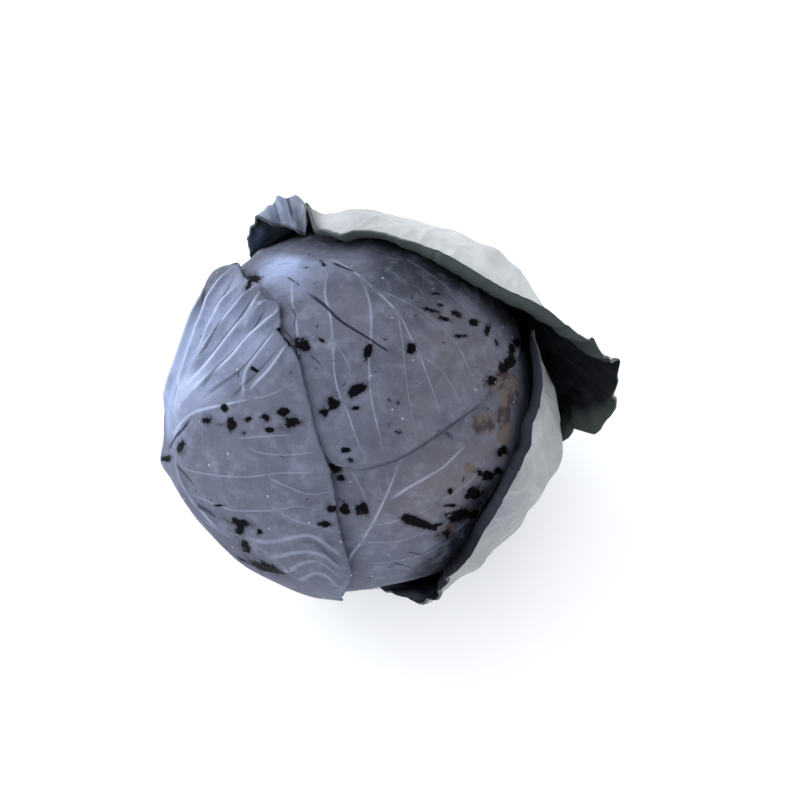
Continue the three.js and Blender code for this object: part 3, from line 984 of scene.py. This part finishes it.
def hood_relief(x, y, share):
    turn = np.degrees(np.arctan2(y, x)) % 360
    lobe = np.clip(1 - np.abs(turn - LOBE_BEARING_DEG) / LOBE_REACH_DEG, 0, 1) * share ** 4
    blister = 0.35 * np.sin(0.3 * x + 0.7 * np.sin(0.21 * y)) * np.sin(0.26 * y + 1.7) * (1 - share ** 6)
    folds = np.sin(turn * 0.52 + 0.8 * np.sin(turn * 0.17)) + 0.45 * np.sin(turn * 1.27 + 1.0)
    ribs = np.sin(0.62 * x + 0.12 * y) + 0.5 * np.sin(1.5 * x - 0.1 * y)
    pleats = 1.3 * step_up(x, 73, 76) * step_up(y, 14, 26) * ribs
    return blister + 3.4 * lobe * folds + pleats + bumps_at(x, y, hood_bumps)


EAR_BEARING_DEG = 49.4


def fold_ear(place, x, y):
    """The left end of the hood stands off the head, and most of it folds forwards over itself."""
    angle = math.radians(EAR_BEARING_DEG) + x / MAP_RADIUS
    folded = step_up(x, 69, 73) * (1 - step_up(x, 83.5, 88.5))
    open_out = through([-10, 0, 8, 16, 24, 32, 40], [79.5, 80, 80.5, 82, 84, 85, 86], y)
    open_near = through([-10, 0, 8, 16, 24, 32, 40], [-21, -13, -6, 1, 8, 14, 20], y)
    heights = [-10, 0, 8, 16, 22, 27, 31, 36, 42, 50]
    over_out = through(heights, [79.5, 80, 81, 84, 87.5, 90, 89.6, 85.5, 80, 73], y)
    over_near = through(heights, [-21, -13, -7, 0, 6, 11, 15, 18, 18.5, 18], y)
    out = open_out + (over_out - open_out) * folded
    near = open_near + (over_near - open_near) * folded
    view = np.stack([out * np.cos(angle), out * np.sin(angle), near], axis=-1)
    ear = upright(np.moveaxis(view, -1, 0)).T
    share = (step_up(x, 62, 71) * step_up(y, -12, 2))[:, None]
    return place + share * (ear - place)


hood_leaf["reshape"] = fold_ear
hood_leaf["relief"] = hood_relief
# Less wax towards the ear: its outer face is painted bluish and darker, partly its own tone and partly
# painted shade.
hood_leaf["bloom"] = lambda x, y: (0.9 - 0.45 * step_up(x, 15, 50)
                                   - 1.2 * step_up(x, 58, 76) * step_up(y, -18, 22))
hood = leaf_mesh("hood_leaf", hood_leaf)

# %% [markdown]
# ## The rear and under leaves
# Two small outer leaves close the back and the underside near the stem. The photo hides them, so they
# follow the same build as the others.

# %% Rear and under leaf
def short_leaf(name, axes, layer, seed, margin, floor, rib_ends, rib_size, ripple, cells):
    leaf = {"axes": leaf_axes(*axes), "seen_radius": 78.0, "layer": layer, "seed": seed, "fray": 0.3,
            "margin": margin, "lift": [0, 0.5, 1, 1, 1, 1, 1, 1, 0.5, 0, 0, 0, 0, 0, 0, 0, 0, 0],
            "roll": FLAT, "band": SIX, "floor": floor}
    midrib = [(0, rib_ends[0]), (1, 0), (0, rib_ends[1])]
    leaf["veins"] = [(midrib, *rib_size, 1.0)] + grow_veins(midrib, seed + 10, inside(leaf))
    leaf["relief"] = lambda x, y, share: ripple * np.sin(0.3 * x) * np.sin(0.27 * y)
    leaf["bloom"] = lambda x, y: np.full_like(x, 0.5)
    return leaf_mesh(name, leaf, cells)


rear = short_leaf("rear_leaf", (150, 136), 9.7, 16,
                  [50, 52, 52, 44, 46, 42, 44, 50, 52, 50, 46, 42, 40, 37, 37, 38, 42, 46],
                  1.0, (-36, 34), (2.8, 2.0), 0.3, 130)
under = short_leaf("under_leaf", (-92, 145), 12.3, 17,
                   [50, 48, 40, 34, 30, 31, 33, 40, 47, 50, 46, 38, 30, 25, 25, 30, 38, 46],
                   0.0, (-24, 22), (2.4, 1.6), 0.2, 110)

# %% [markdown]
# ## The inner head and the stem
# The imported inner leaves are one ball, and all the outer leaves lie over it. The stem is a short stump
# with the scars of removed leaves round it and a dry, level cut.

# %% Inner head
HEART_LAYER = 3.2
heart = start_shape("inner_head_skin", bpy.ops.mesh.primitive_uv_sphere_add,
                    segments=128, ring_count=80, radius=1)
ways = unit(points_of(heart.data))
turn = np.arctan2(ways[:, 1], ways[:, 0])
folds = 0.35 * np.sin(5 * turn + 9 * ways[:, 2]) ** 3
put_points(heart.data, stand(ways * (ball(ways) + HEART_LAYER + folds)[:, None]))
bpy.ops.object.shade_smooth()
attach(heart, "root")
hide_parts("inner_head")
print("inner head:", len(heart.data.polygons), "faces")

# %% [markdown]
# The stem starts as a ball. Its rings are moved onto the outline of a stump: a hidden top, a side that
# widens a little under the head, and a level cut that dishes in at the pith. The scars of old leaves
# are half-moon ridges that climb round the side in a spiral.

# %% Stem
STEM_LENGTH = CENTRE_HEIGHT / math.cos(LEAN)
STEM_RADIUS = 15.0
STEM_TOP = 61.8
HIDDEN_TOP = 0.12
CUT_START = 0.68
SCAR_TURN = 137.5
stem = start_shape("stem_skin", bpy.ops.mesh.primitive_uv_sphere_add,
                   segments=160, ring_count=100, radius=1)
spots = points_of(stem.data)
turn = np.degrees(np.arctan2(spots[:, 1], spots[:, 0]))
fall = np.arccos(np.clip(spots[:, 2], -1, 1)) / math.pi
share = np.clip((fall - HIDDEN_TOP) / 0.56, 0, 1)
cut = np.clip((fall - CUT_START) / 0.32, 0, 1)
radius = STEM_RADIUS + 1.4 * (1 - step_up(share, 0, 0.45)) - 0.7 * step_up(share, 0.94, 1)
for k in range(7):
    across = (turn - SCAR_TURN * k + 180) % 360 - 180
    level = 0.2 + 0.11 * k - 0.12 * (across / 48) ** 2
    scar = np.exp(-((share - level) / 0.035) ** 2) - 0.6 * np.exp(-((share - level - 0.07) / 0.03) ** 2)
    radius = radius + 0.75 * scar * (1 - step_up(np.abs(across), 30, 52)) * (share > 0) * (share < 0.96)
radius = radius + 0.18 * np.sin(np.radians(turn) * 7 + 1.0) + 0.1 * np.sin(np.radians(turn) * 17)
radius = radius * np.where(fall < HIDDEN_TOP, fall / HIDDEN_TOP, 1 - cut)
x, y = radius * np.cos(np.radians(turn)), radius * np.sin(np.radians(turn))
dish = 0.9 * step_up(cut, 0.45, 0.8) + 0.12 * np.sin(26 * cut) * (cut > 0.05)
depth = STEM_TOP + (STEM_LENGTH + y * math.tan(LEAN) - STEM_TOP) * share - np.maximum(dish, 0) * (cut > 0)
put_points(stem.data, stand(np.stack([x, y, -depth], -1)))
add_mark(stem.data, "margin_mm", 30 - 30 * step_up(share, 0.55, 1.0))
bpy.ops.object.shade_smooth()
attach(stem, "root")
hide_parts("stem")
print("stem:", len(stem.data.polygons), "faces")

# %% [markdown]
# ## Finishes
# Leaf colour comes in layers, as on the real leaf: purple flesh, a blue-grey bloom of wax over it, pale
# veins, a fine net between them, then bruises and black blots. Painted light and painted shade are laid
# in with some of these layers. Small helpers keep the node work short.

# %% Node helpers
def new_finish(name):
    finish = bpy.data.materials.new(name)
    finish.use_nodes = True
    tree = finish.node_tree
    shader = tree.nodes["Principled BSDF"]
    return finish, tree, shader


def node(tree, kind, links=(), **settings):
    made = tree.nodes.new(kind)
    for key, value in settings.items():
        setattr(made, key, value)
    for socket, source in dict(links).items():
        if isinstance(source, bpy.types.NodeSocket):
            tree.links.new(source, made.inputs[socket])
        else:
            made.inputs[socket].default_value = source
    return made


def mark(tree, name):
    return node(tree, "ShaderNodeAttribute", attribute_name=name).outputs["Fac"]


def math_node(tree, operation, a, b=0.0, c=0.0):
    return node(tree, "ShaderNodeMath", {0: a, 1: b, 2: c}, operation=operation).outputs[0]


def times(tree, a, b):
    return math_node(tree, "MULTIPLY", a, b)


def ramp(tree, value, low, high, out_low=0.0, out_high=1.0):
    made = node(tree, "ShaderNodeMapRange", {"Value": value, "From Min": low, "From Max": high,
                "To Min": out_low, "To Max": out_high}, interpolation_type="SMOOTHSTEP")
    return made.outputs[0]


def blend(tree, share, under_colour, over_colour):
    made = node(tree, "ShaderNodeMix", {0: share}, data_type="RGBA")
    for socket, value in ((6, under_colour), (7, over_colour)):
        if isinstance(value, bpy.types.NodeSocket):
            tree.links.new(value, made.inputs[socket])
        else:
            made.inputs[socket].default_value = (*value, 1)
    return made.outputs[2]


def noise(tree, scale, detail=4.0, rough=0.55):
    where = node(tree, "ShaderNodeTexCoord").outputs["Object"]
    return node(tree, "ShaderNodeTexNoise", {"Vector": where, "Scale": scale, "Detail": detail,
                "Roughness": rough}).outputs["Fac"]


print("helpers ready")

# %% [markdown]
# A cabbage leaf is covered with wax, thick in some places and rubbed off in others, where the darker
# flesh shows. One picture could show that, but it would need unwrapping and would be hard to change.
# Here each layer is mixed in by a mark on the points: wax, which also carries painted light and painted
# shadow, net, veins, and scores that also paint shade into creases, then bruises and blots with torn
# edges, a few of them painted shadow in gaps, and last the light specks, the dark flecks and the worn rim.

# %% Waxy leaf finish
def line_mask(tree, prefix, softness):
    away = math_node(tree, "ABSOLUTE", mark(tree, prefix + "_side"))
    near = ramp(tree, away, 0.35, softness, 1, 0)
    close = ramp(tree, mark(tree, prefix + "_gap"), 1.0, 1.7, 1, 0)
    both = times(tree, near, close)
    crisp = times(tree, both, mark(tree, prefix + "_force"))
    return math_node(tree, "MAXIMUM", crisp, mark(tree, prefix + "_soft"))


def centred_noise(tree, scale, detail, rough, spread):
    """Noise that is spread evenly about zero."""
    return math_node(tree, "MULTIPLY_ADD", noise(tree, scale, detail, rough), spread, -spread / 2)


def add_bump(tree, shader, height, strength, distance):
    bump = node(tree, "ShaderNodeBump", {"Height": height, "Strength": strength, "Distance": distance})
    tree.links.new(bump.outputs["Normal"], shader.inputs["Normal"])


def leaf_finish(name, bare_and_shade, flesh, bloom, vein, mottled, flecked, rim_width):
    finish, tree, shader = new_finish(name)
    patchy = noise(tree, 28, 5, 0.6)
    fine = noise(tree, 160, 3, 0.6)
    # The wax mark is the leaf's wax, and in places painted light (more wax) and painted shadow (below zero,
    # where the dark bare colour is laid on).
    wax_light_shade_level = math_node(tree, "ADD", mark(tree, "bloom"), math_node(tree, "MULTIPLY_ADD", patchy, 0.5, -0.25))
    warm = tuple(c * k for c, k in zip(flesh, (1.45, 1.28, 1.1)))
    tissue = blend(tree, mark(tree, "flush"), flesh, warm)
    colour = blend(tree, ramp(tree, wax_light_shade_level, -1.0, 0.0), bare_and_shade, tissue)
    colour = blend(tree, ramp(tree, wax_light_shade_level, 0.0, 1.0), colour, bloom)
    mottle = ramp(tree, noise(tree, 75, 5, 0.65), 0.42, 0.62, 0, mottled)
    colour = blend(tree, mottle, colour, tuple(0.5 * c for c in flesh))
    colour = blend(tree, times(tree, ramp(tree, fine, 0.45, 0.75), 0.13), colour, vein)
    where = node(tree, "ShaderNodeTexCoord").outputs["Object"]
    bent = node(tree, "ShaderNodeTexNoise", {"Vector": where, "Scale": 90.0, "Detail": 2.0})
    shifted = node(tree, "ShaderNodeMix", {0: 0.012}, data_type="VECTOR")
    tree.links.new(where, shifted.inputs[4])
    tree.links.new(bent.outputs["Color"], shifted.inputs[5])
    net = node(tree, "ShaderNodeTexVoronoi", {"Vector": shifted.outputs[1], "Scale": 170.0},
               feature="DISTANCE_TO_EDGE").outputs["Distance"]
    thread = ramp(tree, net, 0.0, 0.06, 1, 0)
    colour = blend(tree, times(tree, thread, 0.03), colour, vein)
    worn = ramp(tree, noise(tree, 110, 3), 0.35, 0.62, 0.55, 0.85)
    colour = blend(tree, times(tree, line_mask(tree, "vein", 1.3), worn), colour, vein)
    # Dark lines: real scores, and painted shade along creases between pleats and under overlapping margins.
    scores_and_crease_shade = line_mask(tree, "crease", 1.2)
    colour = blend(tree, times(tree, scores_and_crease_shade, 0.9), colour, (0.008, 0.009, 0.016))
    ragged = math_node(tree, "ADD", centred_noise(tree, 260, 4, 0.7, 2.6),
                       centred_noise(tree, 95, 2, 0.55, 2.6))
    bruise = math_node(tree, "ADD", mark(tree, "brown"), ragged)
    ochre = blend(tree, ramp(tree, noise(tree, 120, 3), 0.42, 0.6), (0.11, 0.09, 0.08), (0.042, 0.03, 0.03))
    colour = blend(tree, ramp(tree, bruise, -0.15, 0.35, 0, 0.9), colour, ochre)
    # Blots: rot, and a few painted shadows in gaps under lifted tips.
    rot_and_gap_shadow = math_node(tree, "ADD", mark(tree, "blot"), ragged)
    colour = blend(tree, ramp(tree, rot_and_gap_shadow, -0.75, 0.1, 0, 0.4), colour, (0.012, 0.01, 0.014))
    colour = blend(tree, ramp(tree, rot_and_gap_shadow, -0.05, 0.3, 0, 0.985), colour, (0.0012, 0.001, 0.0016))
    crumbs = node(tree, "ShaderNodeTexVoronoi", {"Vector": where, "Scale": 260.0})
    pick = node(tree, "ShaderNodeSeparateColor", {"Color": crumbs.outputs["Color"]}).outputs[0]
    speck = times(tree, ramp(tree, crumbs.outputs["Distance"], 0.06, 0.16, 1, 0),
                  math_node(tree, "GREATER_THAN", pick, 0.9))
    colour = blend(tree, times(tree, speck, 0.6), colour, (0.4, 0.42, 0.48))
    grains = node(tree, "ShaderNodeTexVoronoi", {"Vector": shifted.outputs[1], "Scale": 230.0})
    few = node(tree, "ShaderNodeSeparateColor", {"Color": grains.outputs["Color"]}).outputs[1]
    fleck = times(tree, ramp(tree, grains.outputs["Distance"], 0.08, 0.24, 1, 0),
                  math_node(tree, "GREATER_THAN", few, 0.7))
    fleck = times(tree, fleck, ramp(tree, noise(tree, 38, 2), 0.45, 0.55, 0, flecked))
    colour = blend(tree, fleck, colour, (0.012, 0.012, 0.018))
    rim = ramp(tree, mark(tree, "margin_mm"), rim_width, rim_width + 1.2, 0.85, 0)
    colour = blend(tree, rim, colour, (0.05, 0.06, 0.062))
    tree.links.new(colour, shader.inputs["Base Color"])
    rough = ramp(tree, patchy, 0.3, 0.7, 0.44, 0.6)
    tree.links.new(rough, shader.inputs["Roughness"])
    shader.inputs["Specular IOR Level"].default_value = 0.02
    height = math_node(tree, "MULTIPLY_ADD", thread, 0.2, times(tree, fine, 0.7))
    add_bump(tree, shader, height, 0.35, 0.0006)
    return finish


waxy_leaf = leaf_finish("waxy purple leaf", (0.010, 0.012, 0.016), (0.084, 0.09, 0.124),
                        (0.225, 0.27, 0.405), (0.34, 0.39, 0.52), 0.3, 0.75, -1.5)
pale_leaf = leaf_finish("pale outer leaf", (0.14, 0.178, 0.27), (0.255, 0.263, 0.275),
                        (0.50, 0.52, 0.518), (0.39, 0.40, 0.41), 0.12, 0.15, 0.6)
print("finishes:", waxy_leaf.name, "and", pale_leaf.name)

# %% [markdown]
# The inner faces are plainer: dark in the middle and lighter near the rim, with the same veins. They
# could use the long recipe too, but a short one is easier to follow, and the imported head and the stem
# can share it. Then every piece gets its finishes.

# %% Inner face, heart and stem finishes
# Painted light: the bluish colour laid on the ear's inner band.
PAINTED_LIGHT_INSIDE = (0.13, 0.165, 0.25)


def plain_leaf_finish(name, dark, light, roughness):
    finish, tree, shader = new_finish(name)
    patchy = centred_noise(tree, 40, 5, 0.6, 1.6)
    # On a leaf's inner face the dark middle is painted shade, and the lighter rim is partly the face's own
    # greenish tone and partly painted light; on the stem the lighter cut is its own colour.
    near_rim = ramp(tree, mark(tree, "margin_mm"), 3, 19, 1, 0)
    lit = math_node(tree, "SUBTRACT", near_rim, mark(tree, "painted_shade_and_light"))
    colour = blend(tree, ramp(tree, math_node(tree, "ADD", lit, patchy), 0, 1), dark, light)
    colour = blend(tree, ramp(tree, mark(tree, "painted_shade_and_light"), -0.2, -1.0, 0, 1), colour, PAINTED_LIGHT_INSIDE)
    veins = line_mask(tree, "vein", 1.3)
    colour = blend(tree, times(tree, veins, 0.4), colour, tuple(1.8 * c for c in light))
    tree.links.new(colour, shader.inputs["Base Color"])
    shader.inputs["Roughness"].default_value = roughness
    shader.inputs["Specular IOR Level"].default_value = 0.08
    add_bump(tree, shader, noise(tree, 220, 3), 0.3, 0.0005)
    return finish


inner_face = plain_leaf_finish("dark inner face", (0.0055, 0.006, 0.009), (0.043, 0.053, 0.052), 0.55)
navy_face = plain_leaf_finish("navy inner face", (0.004, 0.0045, 0.008), (0.021, 0.0235, 0.034), 0.55)
heart_finish = plain_leaf_finish("packed heart", (0.02, 0.016, 0.03), (0.05, 0.04, 0.066), 0.5)
stem_finish = plain_leaf_finish("stem skin", (0.27, 0.28, 0.21), (0.40, 0.34, 0.24), 0.7)
waxy, pale = (waxy_leaf, inner_face), (pale_leaf, inner_face)
for piece, slot, finishes in (
        (left, "waxy_leaf", waxy), (crown, "waxy_leaf", waxy), (lower, "waxy_leaf", waxy),
        (right, "pale_leaf", (pale_leaf, navy_face)), (hood, "pale_leaf", pale),
        (rear, "pale_leaf", pale), (under, "pale_leaf", pale),
        (heart, "inner_head", (heart_finish,)), (stem, "stem", (stem_finish,))):
    for k, finish in enumerate(finishes):
        if k < len(piece.data.materials):
            piece.data.materials[k] = finish
        else:
            piece.data.materials.append(finish)
    if len(finishes) > 1:
        print(piece.name, "outer and inner faces:", [sum(p.material_index == k for p in piece.data.polygons)
                                                     for k in (0, 1)])

# %% [markdown]
# ## Studio
# The photo is a cut-out on white with cool light from the upper left and a soft shadow to the right.
# A white floor, a bright even sky and one large cool softbox give the same light.

# %% Floor
JUST_BELOW = -0.0002
floor = start_shape("studio_floor", bpy.ops.mesh.primitive_plane_add, (0, 0, JUST_BELOW), size=6)
floor_finish, _, floor_shader = new_finish("white paper floor")
floor_shader.inputs["Base Color"].default_value = (0.95, 0.95, 0.95, 1)
floor_shader.inputs["Roughness"].default_value = 0.9
floor.data.materials.append(floor_finish)
print("floor size:", tuple(round(s, 2) for s in floor.dimensions))

# %% [markdown]
# The light comes from the upper left, and its shadows have soft edges. A small lamp or a sun would give
# hard ones, so the lamp is a large softbox. The sky is brighter near the horizon than overhead, and
# brighter on the left.

# %% Lights
def softbox(name, place, aim, size, power, colour):
    bpy.ops.object.light_add(type="AREA", location=place)
    lamp = bpy.context.object
    lamp.name = name
    lamp.data.shape = "RECTANGLE"
    lamp.data.size, lamp.data.size_y = size
    lamp.data.energy = power
    lamp.data.color = colour
    direction = np.array(aim, float) - np.array(place, float)
    lamp.rotation_euler = (math.acos(-direction[2] / np.linalg.norm(direction)), 0,
                           math.atan2(direction[1], direction[0]) - math.pi / 2)
    return lamp


key = softbox("key softbox", (-1.3, 1.0, 1.3), (0, -0.02, 0.07), (1.2, 1.2), 17, (0.84, 0.91, 1.0))
sky = bpy.data.worlds.new("studio sky")
bpy.context.scene.world = sky
sky.use_nodes = True
sky_tree = sky.node_tree
toward = node(sky_tree, "ShaderNodeSeparateXYZ",
              {"Vector": node(sky_tree, "ShaderNodeTexCoord").outputs["Generated"]}).outputs
from_left = math_node(sky_tree, "MULTIPLY_ADD", toward["X"], -0.5, 1.0)
strength = times(sky_tree, ramp(sky_tree, toward["Z"], 0.0, 1.0, 2.6, 0.85), from_left)
sky_tree.links.new(strength, sky_tree.nodes["Background"].inputs["Strength"])
sky_tree.nodes["Background"].inputs["Color"].default_value = (0.96, 0.975, 1.0, 1)
print("key light power:", key.data.energy)

# %% [markdown]
# The camera stands at the distance and the angle with which the photo was read, because the traced
# margins would not line up from anywhere else. Its lens is long enough to match that distance.

# %% Camera
LENS_MM = 100
SENSOR_MM = 36
look = np.array([0, -math.cos(LOOK_DOWN), math.sin(LOOK_DOWN)])
right_way, up_way = np.array([1.0, 0, 0]), np.array([0, math.sin(LOOK_DOWN), math.cos(LOOK_DOWN)])
aim_point = (HEAD_CENTRE + AIM[0] * right_way + AIM[1] * up_way) / 1000
bpy.ops.object.camera_add(location=tuple(aim_point + look * CAMERA_DISTANCE / 1000),
                          rotation=(math.radians(90) - LOOK_DOWN, 0, 0))
camera = bpy.context.object
camera.data.lens = LENS_MM
camera.data.sensor_width = SENSOR_MM
bpy.context.scene.camera = camera
bpy.context.scene.view_settings.view_transform = "Standard"
print("camera at", [round(c, 3) for c in camera.location])
